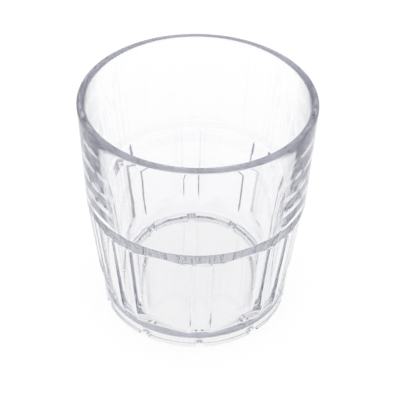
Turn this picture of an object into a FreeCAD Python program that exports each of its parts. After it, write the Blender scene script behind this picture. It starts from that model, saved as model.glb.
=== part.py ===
import FreeCAD, Part
import math
import os
import Sketcher

# A clear plastic tumbler, moulded in one piece. Lengths are in millimetres and angles in degrees.
# The origin is the middle of the circle that the foot stands on, and +Z points up to the rim.
# The middle of one narrow flute faces -Y.

# Driving dimensions of the tumbler
SIZES = [
    ("cup_height", 90.0, "foot to rim"),
    ("rim_radius", 43.0, "outside of the rim"),
    ("rim_wall", 2.85, "wall at the rim"),
    ("lip_round", 1.2, "rounding of both edges of the lip"),
    ("wall_foot_radius", 41.15, "round upper wall, at the level of the panels' top"),
    ("foot_height", 7.2, "round foot under the panels"),
    ("foot_radius", 36.0, "top of the round foot"),
    ("runout_rise", 6.3, "from the round foot up to the panels' foot"),
    ("panel_rise", 32.2, "from the panels' foot up to their top"),
    ("flare_rise", 3.0, "bevel over the panels, until it is clear of the round wall"),
    ("ridge_foot_radius", 37.3, "ridges between panel and flute, at their foot"),
    ("ridge_top_radius", 40.9, "ridges between panel and flute, at their top"),
    ("flare_reach", 2.35, "ridges at the top of the bevel, outside the foot of the round wall"),
    ("panel_count", 8, "panels, and as many flutes"),
    ("flute_half_angle", 6.05, "half of the angle that a flute takes up"),
    ("flute_foot_depth", 0.7, "hollow of a flute at its foot"),
    ("flute_depth", 0.6, "hollow of a flute at its top"),
    ("flare_depth", 1.7, "hollow of a flute at the top of the bevel"),
    ("base_radius", 35.75, "bottom of the round foot"),
    ("base_round", 0.7, "rounding of the foot's outer edge"),
    ("floor_height", 4.5, "inside floor above the table"),
    ("floor_radius", 30.5, "inside wall where it would meet the floor"),
    ("floor_round", 3.5, "rounding between the inside wall and the floor"),
    ("shoulder_drop", 1.4, "foot of the inside shoulder, below the panels' top"),
    ("shoulder_rise", 5.2, "height of the inside shoulder"),
    ("shoulder_foot_radius", 34.3, "inside wall at the foot of the shoulder"),
    ("shoulder_top_radius", 36.4, "inside wall at the top of the shoulder"),
    ("shoulder_round", 3.0, "rounding of both edges of the shoulder"),
    ("ring_width", 5.0, "ring that the tumbler stands on"),
    ("recess_depth", 2.4, "hollow under the floor, inside the ring"),
    ("recess_round", 0.8, "rounding between that hollow and the ring"),
    ("notch_count", 10, "drain notches in the ring"),
    ("notch_width", 3.8, "drain notch along the ring"),
    ("notch_height", 2.0, "drain notch above the table"),
]

doc = FreeCAD.newDocument("tumbler")
sheet = doc.addObject("Spreadsheet::Sheet", "sizes")
for row, (alias, value, meaning) in enumerate(SIZES, start=1):
    sheet.set("A%d" % row, alias)
    sheet.set("B%d" % row, str(value))
    sheet.set("C%d" % row, meaning)
    sheet.setAlias("B%d" % row, alias)
doc.recompute()


class Measure:
    """A measure worked out from the sheet, as an expression and as the number it comes to."""

    def __init__(self, text, number):
        self.text = text
        self.number = number

    def __neg__(self):
        return Measure("(-%s)" % self.text, -self.number)

    def __add__(self, other):
        return Measure("(%s + %s)" % (self.text, other.text), self.number + other.number)

    def __sub__(self, other):
        return Measure("(%s - %s)" % (self.text, other.text), self.number - other.number)

    def __mul__(self, other):
        return Measure("(%s * %s)" % (self.text, other.text), self.number * other.number)

    def __truediv__(self, other):
        return Measure("(%s / %s)" % (self.text, other.text), self.number / other.number)


def fixed(number):
    """A plain number to use beside the measures."""
    return Measure("%g" % number, number)


def cosine(angle):
    """The cosine of an angle in degrees."""
    return Measure("cos(%s * 1 deg)" % angle.text, math.cos(math.radians(angle.number)))


def sine(angle):
    """The sine of an angle in degrees."""
    return Measure("sin(%s * 1 deg)" % angle.text, math.sin(math.radians(angle.number)))


def arc_radius(half_width, rise):
    """The radius of an arc, from half of its chord and its rise over the chord."""
    return (half_width * half_width + rise * rise) / (fixed(2) * rise)


size = {alias: Measure("sizes." + alias, float(sheet.get(alias))) for alias, value, meaning in SIZES}

ON_AXIS = fixed(0)
ON_TABLE = fixed(0)
FULL_TURN = 360.0
FRONT = -90.0
EDGE_MATCH = 0.001

# The sketcher's own numbers for the origin, the ends of a line and the two axes
ROOT, LEVEL_AXIS, UPRIGHT_AXIS = -1, -1, -2
START, END, CENTRE = 1, 2, 3


def origin_part(body, role):
    """One of the body's own origin planes or axes, found by its role."""
    return next(part for part in body.Origin.OriginFeatures if part.Role == role)


def flat_sketch(body, name, role):
    """An empty sketch on one of the body's own origin planes."""
    sketch = body.newObject("Sketcher::SketchObject", name)
    sketch.AttachmentSupport = [(origin_part(body, role), "")]
    sketch.MapMode = "FlatFace"
    return sketch


def bind(sketch, kind, places, measure):
    """Adds a constraint that takes its value from the sheet."""
    number = sketch.addConstraint(Sketcher.Constraint(kind, *places, measure.number))
    sketch.setExpression("Constraints[%d]" % number, measure.text)


def place_point(sketch, line, end, across, along):
    """Ties one end of a line to a place measured from the sketch's origin."""
    for kind, axis, place in (("DistanceX", UPRIGHT_AXIS, across), ("DistanceY", LEVEL_AXIS, along)):
        if place is ON_AXIS or place is ON_TABLE:
            sketch.addConstraint(Sketcher.Constraint("PointOnObject", line, end, axis))
        elif place.number < 0:
            bind(sketch, kind, (line, end, ROOT, START), -place)
        else:
            bind(sketch, kind, (ROOT, START, line, end), place)


def join(sketch, first, first_end, second, second_end):
    """Makes two ends meet."""
    sketch.addConstraint(Sketcher.Constraint("Coincident", first, first_end, second, second_end))


def profile_sketch(body, name, corners):
    """A closed outline of straight lines on the XZ plane, each corner a radius and a height."""
    sketch = flat_sketch(body, name, "XZ_Plane")
    points = [FreeCAD.Vector(radius.number, height.number, 0) for radius, height in corners]
    for index, point in enumerate(points):
        sketch.addGeometry(Part.LineSegment(point, points[(index + 1) % len(points)]), False)
    for index, (radius, height) in enumerate(corners):
        join(sketch, index, END, (index + 1) % len(corners), START)
        place_point(sketch, index, START, radius, height)
    return sketch


def slice_sketch(body, name, height, ridge_radius, flute_depth=None):
    """A level slice through the lower body, with all its ridges on one circle.

    The flutes are hollow arcs and the panels straight chords. With no flute depth the slice is
    round, made of arcs of that circle from ridge to ridge.
    """
    sketch = flat_sketch(body, name, "XY_Plane")
    sketch.AttachmentOffset = FreeCAD.Placement(
        FreeCAD.Vector(0, 0, height.number), FreeCAD.Rotation())
    sketch.setExpression("AttachmentOffset.Base.z", height.text)
    half_angle = size["flute_half_angle"]
    ridges = []
    for bay in range(int(size["panel_count"].number)):
        middle = fixed(FRONT) + fixed(bay) * fixed(FULL_TURN) / size["panel_count"]
        for angle in (middle - half_angle, middle + half_angle):
            ridges.append((ridge_radius * cosine(angle), ridge_radius * sine(angle)))
    points = [FreeCAD.Vector(across.number, along.number, 0) for across, along in ridges]
    sides = []
    for index, first in enumerate(points):
        last = points[(index + 1) % len(points)]
        outward = (first + last).normalize()
        is_flute = index % 2 == 0
        if flute_depth is None:
            arc = Part.Arc(first, outward * ridge_radius.number, last)
            side = sketch.addGeometry(arc, False)
            bind(sketch, "Radius", (side,), ridge_radius)
            sides.append((side, START, END))
        elif is_flute:
            hollow = (first + last) * 0.5 - outward * flute_depth.number
            side = sketch.addGeometry(Part.Arc(last, hollow, first), False)
            bind(sketch, "Radius", (side,), arc_radius(ridge_radius * sine(half_angle), flute_depth))
            sides.append((side, END, START))
        else:
            side = sketch.addGeometry(Part.LineSegment(first, last), False)
            sides.append((side, START, END))
    for index, (side, start, end) in enumerate(sides):
        next_side, next_start, _ = sides[(index + 1) % len(sides)]
        join(sketch, side, end, next_side, next_start)
        place_point(sketch, side, start, *ridges[index])
    return sketch


def turned_add(body, name, corners):
    """A solid turned about the tumbler's axis."""
    sketch = profile_sketch(body, name + "_outline", corners)
    turned = body.newObject("PartDesign::Revolution", name)
    turned.Profile = sketch
    turned.ReferenceAxis = (sketch, ["V_Axis"])
    turned.Angle = FULL_TURN
    doc.recompute()
    return turned


def turned_cut(body, name, corners):
    """A groove turned about the tumbler's axis."""
    sketch = profile_sketch(body, name + "_outline", corners)
    before = body.Shape.Volume
    groove = body.newObject("PartDesign::Groove", name)
    groove.Profile = sketch
    groove.ReferenceAxis = (sketch, ["V_Axis"])
    groove.Angle = FULL_TURN
    doc.recompute()
    check_cut(groove, before)
    return groove


def check_cut(feature, before):
    """A groove or pocket that takes nothing away points the wrong way."""
    if not feature.Shape.Volume < before:
        raise RuntimeError(feature.Name + " cuts nothing")


def level_circle(shape, radius, height):
    """The names of the edges of a shape that lie on this level circle about the axis."""
    names = []
    for number, edge in enumerate(shape.Edges, start=1):
        curve = edge.Curve
        if not isinstance(curve, Part.Circle) or not math.isclose(abs(curve.Axis.z), 1, abs_tol=EDGE_MATCH):
            continue
        same_radius = math.isclose(curve.Radius, radius.number, abs_tol=EDGE_MATCH)
        same_height = math.isclose(curve.Center.z, height.number, abs_tol=EDGE_MATCH)
        if same_radius and same_height:
            names.append("Edge%d" % number)
    return names


def round_edges(body, name, circles, radius):
    """Rounds the edges that lie on the given level circles."""
    base = body.Tip
    edges = []
    for circle_radius, height in circles:
        edges += level_circle(base.Shape, circle_radius, height)
    if not edges:
        raise RuntimeError(name + " finds no edge")
    rounding = body.newObject("PartDesign::Fillet", name)
    rounding.Base = (base, edges)
    rounding.setExpression("Radius", radius.text)
    doc.recompute()
    return rounding


tumbler = doc.addObject("PartDesign::Body", "tumbler")
tumbler.Label = "tumbler"

panel_foot_height = size["foot_height"] + size["runout_rise"]
panel_top_height = panel_foot_height + size["panel_rise"]
flare_height = panel_top_height + size["flare_rise"]
flare_radius = size["wall_foot_radius"] + size["flare_reach"]

# The lower body: hollow flutes with wide flat panels between them. It runs out into the round
# foot below, and a bevel flares out over the panels.
slices = [
    slice_sketch(tumbler, "slice_foot", size["foot_height"], size["foot_radius"]),
    slice_sketch(tumbler, "slice_panel_foot", panel_foot_height,
                 size["ridge_foot_radius"], size["flute_foot_depth"]),
    slice_sketch(tumbler, "slice_panel_top", panel_top_height,
                 size["ridge_top_radius"], size["flute_depth"]),
    slice_sketch(tumbler, "slice_flare", flare_height, flare_radius, size["flare_depth"]),
]
lower_body = tumbler.newObject("PartDesign::AdditiveLoft", "lower_body")
lower_body.Profile = slices[0]
lower_body.Sections = slices[1:]
lower_body.Ruled = True
doc.recompute()

# The round upper wall is a cone. It trims the bevel, which leaves an arch over each panel and
# each flute.
wall_slope = (size["rim_radius"] - size["wall_foot_radius"]) / (size["cup_height"] - panel_top_height)
wall_radius = size["wall_foot_radius"] + size["flare_rise"] * wall_slope
beyond_flare = flare_radius + size["flare_reach"]
turned_cut(tumbler, "flare_trim", [
    (size["wall_foot_radius"], panel_top_height),
    (beyond_flare, panel_top_height),
    (beyond_flare, flare_height),
    (wall_radius, flare_height),
])

# The round foot under it, and the rest of the round wall over it
turned_add(tumbler, "foot", [
    (ON_AXIS, ON_TABLE),
    (size["base_radius"], ON_TABLE),
    (size["foot_radius"], size["foot_height"]),
    (ON_AXIS, size["foot_height"]),
])
turned_add(tumbler, "upper_body", [
    (ON_AXIS, flare_height),
    (wall_radius, flare_height),
    (size["rim_radius"], size["cup_height"]),
    (ON_AXIS, size["cup_height"]),
])

# The inside: a thin upper wall, a sloping shoulder where the panels start, a thicker lower wall
# and a rounded floor
mouth_radius = size["rim_radius"] - size["rim_wall"]
shoulder_foot_height = panel_top_height - size["shoulder_drop"]
shoulder_top_height = shoulder_foot_height + size["shoulder_rise"]
turned_cut(tumbler, "inside", [
    (ON_AXIS, size["floor_height"]),
    (size["floor_radius"], size["floor_height"]),
    (size["shoulder_foot_radius"], shoulder_foot_height),
    (size["shoulder_top_radius"], shoulder_top_height),
    (mouth_radius, size["cup_height"]),
    (ON_AXIS, size["cup_height"]),
])
round_edges(tumbler, "floor_rounding", [(size["floor_radius"], size["floor_height"])],
            size["floor_round"])
round_edges(tumbler, "shoulder_rounding", [(size["shoulder_foot_radius"], shoulder_foot_height),
                                           (size["shoulder_top_radius"], shoulder_top_height)],
            size["shoulder_round"])

# The hollow under the floor leaves a ring to stand on
recess_radius = size["base_radius"] - size["ring_width"]
turned_cut(tumbler, "recess", [
    (ON_AXIS, ON_TABLE),
    (recess_radius, ON_TABLE),
    (recess_radius, size["recess_depth"]),
    (ON_AXIS, size["recess_depth"]),
])
round_edges(tumbler, "recess_rounding", [(recess_radius, size["recess_depth"])], size["recess_round"])

# The lip and the foot have rounded edges
round_edges(tumbler, "lip_rounding", [(size["rim_radius"], size["cup_height"]),
                                      (mouth_radius, size["cup_height"])], size["lip_round"])
round_edges(tumbler, "base_rounding", [(size["base_radius"], ON_TABLE)], size["base_round"])

# Drain notches across the ring, each with a round top. The first one faces -Y.
notch_radius = arc_radius(size["notch_width"] / fixed(2), size["notch_height"])
notch_outline = flat_sketch(tumbler, "notch_outline", "XZ_Plane")
notch_middle = FreeCAD.Vector(0, size["notch_height"].number - notch_radius.number, 0)
notch_circle = notch_outline.addGeometry(
    Part.Circle(notch_middle, FreeCAD.Vector(0, 0, 1), notch_radius.number), False)
bind(notch_outline, "Radius", (notch_circle,), notch_radius)
place_point(notch_outline, notch_circle, CENTRE, ON_AXIS, size["notch_height"] - notch_radius)
before_notch = tumbler.Shape.Volume
notch = tumbler.newObject("PartDesign::Pocket", "notch")
notch.Profile = notch_outline
notch.Type = "ThroughAll"
notch.Reversed = True
doc.recompute()
check_cut(notch, before_notch)
notches = tumbler.newObject("PartDesign::PolarPattern", "notches")
notches.Originals = [notch]
notches.Axis = (origin_part(tumbler, "Z_Axis"), [""])
notches.Angle = FULL_TURN
notches.setExpression("Occurrences", size["notch_count"].text)
tumbler.Tip = notches
doc.recompute()

# Every feature has to be sound before the part is written
for item in doc.Objects:
    if "Invalid" in item.State or "Error" in item.State:
        raise RuntimeError("%s failed: %s" % (item.Name, item.State))
shape = tumbler.Shape
if shape.isNull() or not shape.isValid() or len(shape.Solids) != 1:
    raise RuntimeError("the tumbler is not one sound solid")
os.makedirs("parts", exist_ok=True)
shape.exportStep("parts/%s.step" % tumbler.Label)
box = shape.optimalBoundingBox()
print("box %.2f %.2f %.2f to %.2f %.2f %.2f" % (box.XMin, box.YMin, box.ZMin, box.XMax, box.YMax, box.ZMax))
print("volume %.0f, faces %d" % (shape.Volume, len(shape.Faces)))
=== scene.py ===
import bpy
import math
from mathutils import Euler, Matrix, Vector


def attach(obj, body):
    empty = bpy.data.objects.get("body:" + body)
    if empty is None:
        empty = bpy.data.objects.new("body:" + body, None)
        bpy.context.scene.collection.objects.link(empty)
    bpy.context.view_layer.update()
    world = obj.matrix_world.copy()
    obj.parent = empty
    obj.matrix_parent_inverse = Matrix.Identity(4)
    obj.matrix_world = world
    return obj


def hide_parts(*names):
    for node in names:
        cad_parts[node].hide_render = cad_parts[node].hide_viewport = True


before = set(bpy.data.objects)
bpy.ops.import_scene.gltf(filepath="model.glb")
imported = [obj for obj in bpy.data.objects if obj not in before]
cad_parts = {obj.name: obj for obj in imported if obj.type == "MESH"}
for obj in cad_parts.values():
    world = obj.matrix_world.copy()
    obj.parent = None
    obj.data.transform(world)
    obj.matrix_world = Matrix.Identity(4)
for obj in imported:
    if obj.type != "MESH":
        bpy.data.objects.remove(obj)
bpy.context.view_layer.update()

# The tumbler: one injection moulding of clear styrene-acrylonitrile. A round, smooth upper body
# steps out over eight flat panels with a narrow hollow flute between each two, and the foot is a
# ring with ten drain notches across it. Sizes are in millimetres and angles in degrees.
MM = 0.001
FRONT = -90.0
RIM_HEIGHT, RIM_RADIUS, RIM_WALL, LIP_ROUND = 90.0, 43.0, 2.85, 1.2
BASE_RADIUS, BASE_ROUND, PANEL_TOP = 35.75, 0.7, 45.7

# The outside: height, radius at the ridges and depth of the flutes at each level. A level with
# no depth is round. Over the panels a bevel flares out until the round wall cuts it off.
BODY_LEVELS = (
    (0.0, BASE_RADIUS, None),
    (7.2, 36.0, None),
    (13.5, 37.3, 0.8),
    (PANEL_TOP, 40.9, 0.4),
    (48.7, 43.5, 1.7),
)
WALL_FOOT, WALL_TOP = (PANEL_TOP, 41.15), (RIM_HEIGHT, RIM_RADIUS)

# A flute is nearly flat along its bottom, with steep sides and ridges that are hardly rounded:
# from the front, each ridge shows as one thin line.
FLUTE_COUNT, FLUTE_HALF_ANGLE, FLUTE_FLATNESS = 8, 6.05, 5.5
FLUTE_PITCH = 360.0 / FLUTE_COUNT
RIDGE_SOFTNESS, LEVEL_SOFTNESS, LEVEL_SAMPLES = 0.06, 0.2, 5


def on_line(low, high, height):
    """Radius at a height on the line through two corners, each a height and a radius."""
    return low[1] + (high[1] - low[1]) * (height - low[0]) / (high[0] - low[0])


def lean(low, high):
    """How far the line through two corners leans outwards."""
    return math.degrees(math.atan2(high[1] - low[1], high[0] - low[0]))


def eased(section, height, softness, samples):
    """Mean radius of a section over a short way up and down, which rounds its corners off."""
    steps = [2.0 * sample / (samples - 1) - 1.0 for sample in range(samples)]
    return sum(section(height + step * softness) for step in steps) / samples


def chord_radius(ridge, half_angle, turn):
    """Radius of a flat side between two ridges, at a turn from its middle."""
    return ridge * math.cos(math.radians(half_angle)) / math.cos(math.radians(turn))


def level_radius(ridge, depth, turn):
    """Outside radius of one level, at a turn from the middle of the nearest flute."""
    if depth is None:
        return ridge
    half_pitch = FLUTE_PITCH / 2.0
    panel = chord_radius(ridge, half_pitch - FLUTE_HALF_ANGLE, half_pitch - abs(turn))
    hollow = depth * (1.0 - (abs(turn) / FLUTE_HALF_ANGLE) ** FLUTE_FLATNESS)
    flute = chord_radius(ridge, FLUTE_HALF_ANGLE, turn) - hollow
    near = max(RIDGE_SOFTNESS - abs(panel - flute), 0.0) / RIDGE_SOFTNESS
    return min(panel, flute) - near * near * RIDGE_SOFTNESS / 4.0


def sharp_radius(turn, height):
    """Outside radius on straight lines between the levels, and never past the round wall."""
    wall = on_line(WALL_FOOT, WALL_TOP, height)
    for (low, *low_shape), (high, *high_shape) in zip(BODY_LEVELS, BODY_LEVELS[1:]):
        if height <= high:
            below = low, level_radius(*low_shape, turn)
            above = high, level_radius(*high_shape, turn)
            return min(on_line(below, above, height), wall)
    return wall


def outside_radius(turn, height):
    """Outside radius with the edges between the levels a little rounded, as a mould has them."""
    return eased(lambda level: sharp_radius(turn, level), max(height, LEVEL_SOFTNESS),
                 LEVEL_SOFTNESS, LEVEL_SAMPLES)


# The inside: a thin upper wall that ends at a sloping shoulder, a thicker lower wall and a floor
# with a rounded edge. Each corner is a height and a radius.
FLOOR_HEIGHT, FLOOR_RADIUS, FLOOR_ROUND = 4.5, 30.5, 3.5
FLOOR_EDGE = (FLOOR_HEIGHT, FLOOR_RADIUS)
SHOULDER_FOOT, SHOULDER_TOP = (44.3, 34.3), (49.5, 36.4)
MOUTH_EDGE = (RIM_HEIGHT, RIM_RADIUS - RIM_WALL)
SHOULDER_SOFTNESS, SHOULDER_SAMPLES = 0.4, 11


def inside_radius(height):
    """Radius of the inside, on straight lines from the floor to the mouth."""
    corners = (FLOOR_EDGE, SHOULDER_FOOT, SHOULDER_TOP, MOUTH_EDGE)
    for low, high in zip(corners, corners[1:]):
        if height <= high[0]:
            break
    return on_line(low, high, height)


# The foot: a ring round a shallow hollow, with the drain notches arched across it. A notch
# dies away up the outside of the foot.
RING_INSIDE, RING_INNER_ROUND = 30.75, 0.25
RING_MIDDLE = (BASE_RADIUS + RING_INSIDE) / 2.0
RECESS_DEPTH, RECESS_ROUND = 2.4, 0.8
NOTCH_COUNT, NOTCH_WIDTH, NOTCH_HEIGHT, NOTCH_REACH = 10, 3.8, 2.0, 4.5
NOTCH_PITCH = 360.0 / NOTCH_COUNT
NOTCH_ARCH = ((NOTCH_WIDTH / 2.0) ** 2 + NOTCH_HEIGHT ** 2) / (2.0 * NOTCH_HEIGHT)


def turn_from_nearest(angle, pitch):
    """Turn from the middle of the nearest flute or notch, with a pitch between them."""
    return (angle - FRONT + pitch / 2.0) % pitch - pitch / 2.0


def notch_lift(angle):
    """How far a drain notch raises the bottom of the ring at this angle."""
    across = RING_MIDDLE * math.sin(math.radians(turn_from_nearest(angle, NOTCH_PITCH)))
    if abs(across) >= NOTCH_WIDTH / 2.0:
        return 0.0
    return NOTCH_HEIGHT - NOTCH_ARCH + math.sqrt(NOTCH_ARCH ** 2 - across ** 2)


# The columns of the mesh go evenly round the cup, and stand closer in the flutes, at their
# ridges and at the sides of the notches, where the plastic bends light most.
COLUMN_STEP, FLUTE_COLUMN_STEP, LEAST_STEP = 1.5, 0.75, 0.03
RIDGE_OFFSETS = (-1.6, -1.2, -0.9, -0.65, -0.45, -0.3, -0.18, -0.08, 0.0, 0.08, 0.18, 0.4, 0.8)
NOTCH_SHARES = (0.0, 0.25, 0.45, 0.62, 0.76, 0.87, 0.94, 0.985, 1.0, 1.05)
angles = [FRONT + COLUMN_STEP * step for step in range(round(360.0 / COLUMN_STEP))]
for flute in range(FLUTE_COUNT):
    middle = FRONT + FLUTE_PITCH * flute
    angles += [middle + FLUTE_COLUMN_STEP * step for step in range(-7, 8)]
    for offset in RIDGE_OFFSETS:
        turn = FLUTE_HALF_ANGLE + offset
        angles += [middle - turn, middle + turn]
for notch in range(NOTCH_COUNT):
    middle = FRONT + NOTCH_PITCH * notch
    for share in NOTCH_SHARES:
        turn = math.degrees(share * NOTCH_WIDTH / 2.0 / RING_MIDDLE)
        angles += [middle - turn, middle + turn]
columns = []
for angle in sorted((angle - FRONT) % 360.0 + FRONT for angle in angles):
    if not columns or angle - columns[-1] > LEAST_STEP:
        columns.append(angle)


def arc_rows(middle_radius, middle_height, round_radius, first, last, steps):
    """Rows on a rounding of the section, with its angles from straight outwards."""
    rows = []
    for step in range(steps + 1):
        angle = math.radians(first + (last - first) * step / steps)
        rows.append((middle_radius + round_radius * math.cos(angle),
                     middle_height + round_radius * math.sin(angle)))
    return rows


# The rows follow the section, each a radius and a height: from the middle of the hollow under
# the floor, down over the ring, up the outside, over the lip and down to the middle of the floor.
# They stand closer at each edge.
hollow_rows = [(radius, RECESS_DEPTH) for radius in (2.0, 6.0, 12.0, 20.0, 27.0)]
hollow_rows += arc_rows(RING_INSIDE - RECESS_ROUND, RECESS_DEPTH - RECESS_ROUND, RECESS_ROUND,
                        90.0, 0.0, 6)
hollow_rows += [(RING_INSIDE, height) for height in (1.2, 0.7)]
hollow_rows += arc_rows(RING_INSIDE + RING_INNER_ROUND, RING_INNER_ROUND, RING_INNER_ROUND,
                        180.0, 270.0, 4)
hollow_rows += [(radius, 0.0) for radius in (31.8, 33.0, 34.2)]
foot_rows = arc_rows(BASE_RADIUS - BASE_ROUND, BASE_ROUND, BASE_ROUND, -90.0, -15.0, 6)

LEVEL_OFFSETS = (-0.6, -0.3, -0.15, 0.0, 0.15, 0.3, 0.6)
FLARE_FIRST, FLARE_STEP, FLARE_ROWS = 46.6, 0.15, 16
wall_heights = [0.75, 1.2, 2.0, 3.0, 4.5, 6.0, 8.7, 9.6, 10.5, 11.4, 12.2]
wall_heights += [15.5, 18.0, 21.0, 24.0, 27.0, 30.0, 33.0, 36.0, 39.0, 42.0, 44.0]
wall_heights += [FLARE_FIRST + FLARE_STEP * step for step in range(FLARE_ROWS)]
wall_heights += [49.5, 51.0, 53.0, 56.0, 60.0, 64.0, 68.0, 72.0, 76.0, 80.0, 84.0, 86.5]
for level, *_ in BODY_LEVELS[1:-1]:
    wall_heights += [level + offset for offset in LEVEL_OFFSETS]
wall_heights.sort()

wall_lean, mouth_lean = lean(WALL_FOOT, WALL_TOP), lean(SHOULDER_TOP, MOUTH_EDGE)
lip_height = RIM_HEIGHT - LIP_ROUND
lip_outer = sharp_radius(0.0, lip_height) - LIP_ROUND / math.cos(math.radians(wall_lean))
lip_inner = inside_radius(lip_height) + LIP_ROUND / math.cos(math.radians(mouth_lean))
inner_rows = arc_rows(lip_outer, lip_height, LIP_ROUND, -wall_lean, 90.0, 9)
inner_rows += arc_rows(lip_inner, lip_height, LIP_ROUND, 90.0, 180.0 - mouth_lean, 9)

CORNER_OFFSETS = (0.9, 0.6, 0.4, 0.2, 0.0, -0.2, -0.4, -0.6, -0.9)
inner_heights = [85.0, 80.0, 75.0, 70.0, 65.0, 60.0, 55.0, 52.0]
inner_heights += [SHOULDER_TOP[0] + offset for offset in CORNER_OFFSETS]
inner_heights += [48.0, 47.0, 46.0]
inner_heights += [SHOULDER_FOOT[0] + offset for offset in CORNER_OFFSETS]
inner_heights += [42.0, 39.0, 36.0, 32.0, 28.0, 24.0, 20.0, 16.0, 12.0]
inner_rows += [(eased(inside_radius, height, SHOULDER_SOFTNESS, SHOULDER_SAMPLES), height)
               for height in inner_heights]

floor_lean, bend_height = lean(FLOOR_EDGE, SHOULDER_FOOT), FLOOR_HEIGHT + FLOOR_ROUND
bend_middle = inside_radius(bend_height) - FLOOR_ROUND / math.cos(math.radians(floor_lean))
inner_rows += arc_rows(bend_middle, bend_height, FLOOR_ROUND, -floor_lean, -90.0, 14)
inner_rows += [(radius, FLOOR_HEIGHT) for radius in (20.0, 15.0, 10.0, 6.0, 2.0)]

# Each row also has the height up to which a notch lifts it. A row of the wall has no radius of
# its own: that differs round the cup.
rows = [(radius, height, RECESS_DEPTH) for radius, height in hollow_rows]
rows += [(radius, height, NOTCH_REACH) for radius, height in foot_rows]
rows += [(None, height, NOTCH_REACH) for height in wall_heights]
rows += [(radius, height, 0.0) for radius, height in inner_rows]
points = [(0.0, 0.0, RECESS_DEPTH * MM)]
for row_radius, row_height, reach in rows:
    for angle in columns:
        radius, height = row_radius, row_height
        if radius is None:
            radius = outside_radius(turn_from_nearest(angle, FLUTE_PITCH), height)
        if height < reach:
            height += notch_lift(angle) * (1.0 - height / reach)
        points.append((radius * math.cos(math.radians(angle)) * MM,
                       radius * math.sin(math.radians(angle)) * MM, height * MM))
points.append((0.0, 0.0, FLOOR_HEIGHT * MM))

# Quads join each row to the next, and a fan of triangles closes each end of the section.
count = len(columns)
floor_centre = len(points) - 1
last_row = floor_centre - count
faces = [(0, 1 + (column + 1) % count, 1 + column) for column in range(count)]
for row in range(1, last_row, count):
    for column in range(count):
        beside = (column + 1) % count
        faces.append((row + column, row + beside, row + count + beside, row + count + column))
faces += [(last_row + column, last_row + (column + 1) % count, floor_centre)
          for column in range(count)]
tumbler_mesh = bpy.data.meshes.new("moulded_tumbler")
tumbler_mesh.from_pydata(points, [], faces)
tumbler_mesh.shade_smooth()
tumbler_mesh.update()
tumbler = bpy.data.objects.new("moulded_tumbler", tumbler_mesh)
bpy.context.scene.collection.objects.link(tumbler)
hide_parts("tumbler")
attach(tumbler, "root")

# Styrene-acrylonitrile, injection moulded against polished steel: as clear as glass and glossy,
# with a faint ripple where the melt cooled. Where light goes a long way through the plastic, as
# in the rim and the ledge, it turns a lilac grey.
RIPPLE_LENGTH, RIPPLE_DEPTH = 12.0, 1.0
STYRENE_IOR, GREY_PER_METRE = 1.57, 15.0


def linear(hex_colour):
    """An sRGB hex colour as the linear colour that shaders take."""
    channels = [int(hex_colour[start:start + 2], 16) / 255.0 for start in (1, 3, 5)]
    return tuple(c / 12.92 if c <= 0.04045 else ((c + 0.055) / 1.055) ** 2.4
                 for c in channels) + (1.0,)


def add_node(tree, kind, settings=None, values=None, links=None):
    """Adds a node with its settings, its socket values and the links that feed it."""
    node = tree.nodes.new(kind)
    for name, value in (settings or {}).items():
        setattr(node, name, value)
    for name, value in (values or {}).items():
        node.inputs[name].default_value = value
    for name, source in (links or {}).items():
        tree.links.new(source, node.inputs[name])
    return node


plastic = bpy.data.materials.new("moulded_clear_styrene")
plastic.use_nodes = True
tree = plastic.node_tree
tree.nodes.clear()
position = add_node(tree, "ShaderNodeTexCoord")
ripple = add_node(tree, "ShaderNodeTexNoise", settings={"noise_dimensions": "3D"},
                  values={"Scale": 1.0 / (RIPPLE_LENGTH * MM), "Detail": 2.0, "Roughness": 0.4},
                  links={"Vector": position.outputs["Object"]})
ripple_bump = add_node(tree, "ShaderNodeBump",
                       values={"Strength": 0.03, "Distance": RIPPLE_DEPTH * MM},
                       links={"Height": ripple.outputs["Fac"]})
clear = add_node(tree, "ShaderNodeBsdfPrincipled",
                 values={"Base Color": linear("#FFFFFF"), "Transmission Weight": 1.0,
                         "Roughness": 0.0, "IOR": STYRENE_IOR},
                 links={"Normal": ripple_bump.outputs["Normal"]})
greyness = add_node(tree, "ShaderNodeVolumeAbsorption",
                    values={"Color": linear("#B5B7C6"), "Density": GREY_PER_METRE})
add_node(tree, "ShaderNodeOutputMaterial",
         links={"Surface": clear.outputs["BSDF"], "Volume": greyness.outputs["Volume"]})
tumbler_mesh.materials.append(plastic)

# The floor: a plain white acrylic sheet, wide enough to fill the picture and softly lit from
# under, as a light table for glassware is. It leaves almost no shadow round the foot.
FLOOR_REACH, FLOOR_DROP, FLOOR_GLOW = 3.0, 0.0002, 0.84
floor_mesh = bpy.data.meshes.new("white_floor")
floor_mesh.from_pydata([(-FLOOR_REACH, -FLOOR_REACH, 0.0), (FLOOR_REACH, -FLOOR_REACH, 0.0),
                        (FLOOR_REACH, FLOOR_REACH, 0.0), (-FLOOR_REACH, FLOOR_REACH, 0.0)],
                       [], [(0, 1, 2, 3)])
floor = bpy.data.objects.new("white_floor", floor_mesh)
floor.location.z = -FLOOR_DROP
bpy.context.scene.collection.objects.link(floor)
lit_acrylic = bpy.data.materials.new("lit_white_acrylic")
lit_acrylic.use_nodes = True
sheet_shader = lit_acrylic.node_tree.nodes["Principled BSDF"]
sheet_shader.inputs["Base Color"].default_value = linear("#808080")
sheet_shader.inputs["Roughness"].default_value = 1.0
sheet_shader.inputs["Specular IOR Level"].default_value = 0.0
sheet_shader.inputs["Emission Color"].default_value = linear("#FFFFFF")
sheet_shader.inputs["Emission Strength"].default_value = FLOOR_GLOW
floor_mesh.materials.append(lit_acrylic)

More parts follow.
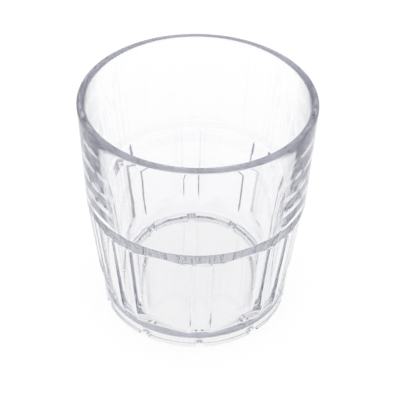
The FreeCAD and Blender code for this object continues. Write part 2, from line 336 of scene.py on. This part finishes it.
# Soft studio light: a white dome overhead that falls off to a pale lilac grey near the horizon,
# as dim walls around a light tent would. It fills the plastic's edges with that grey.
DOME_STRENGTH, HORIZON_HEIGHT, WHITE_HEIGHT = 0.92, 0.05, 0.55
dome = bpy.data.worlds.new("studio_dome")
bpy.context.scene.world = dome
dome.use_nodes = True
tree = dome.node_tree
tree.nodes.clear()
direction = add_node(tree, "ShaderNodeTexCoord")
upwards = add_node(tree, "ShaderNodeSeparateXYZ",
                   links={"Vector": direction.outputs["Generated"]})
fall = add_node(tree, "ShaderNodeValToRGB", links={"Fac": upwards.outputs["Z"]})
horizon, zenith = fall.color_ramp.elements
horizon.position, horizon.color = HORIZON_HEIGHT, linear("#ECECF4")
zenith.position, zenith.color = WHITE_HEIGHT, linear("#FFFFFF")
sky = add_node(tree, "ShaderNodeBackground", values={"Strength": DOME_STRENGTH},
               links={"Color": fall.outputs["Color"]})
add_node(tree, "ShaderNodeOutputWorld", links={"Surface": sky.outputs["Background"]})
bpy.context.scene.view_settings.view_transform = "Standard"

# Light is trapped in the thick walls for many turns before it leaves them.
light_paths = bpy.context.scene.cycles
light_paths.max_bounces = 48
light_paths.glossy_bounces = 40
light_paths.transmission_bounces = 40

# The camera stands in front and a little to the left, looks down on the rim and leans slightly.
# It is aimed at the middle of the cup, and a small shift of the lens sets the cup in the frame.
CAMERA_TURN, CAMERA_HEIGHT, CAMERA_LEAN, CAMERA_REACH = -3.75, 39.30, 1.02, 0.4527
lens = bpy.data.cameras.new("camera")
lens.sensor_width = 36.0
lens.lens = 108.0
lens.shift_x = 0.0095
lens.shift_y = -0.01178
camera = bpy.data.objects.new("camera", lens)
bpy.context.scene.collection.objects.link(camera)
aim = Vector((0.0, 0.0, RIM_HEIGHT / 2.0 * MM))
turn, height = math.radians(CAMERA_TURN), math.radians(CAMERA_HEIGHT)
camera.location = aim + CAMERA_REACH * Vector(
    (math.sin(turn) * math.cos(height), -math.cos(turn) * math.cos(height), math.sin(height)))
look = (aim - camera.location).to_track_quat("-Z", "Y")
roll = Euler((0.0, 0.0, math.radians(CAMERA_LEAN))).to_quaternion()
camera.rotation_euler = (look @ roll).to_euler()
bpy.context.scene.camera = camera
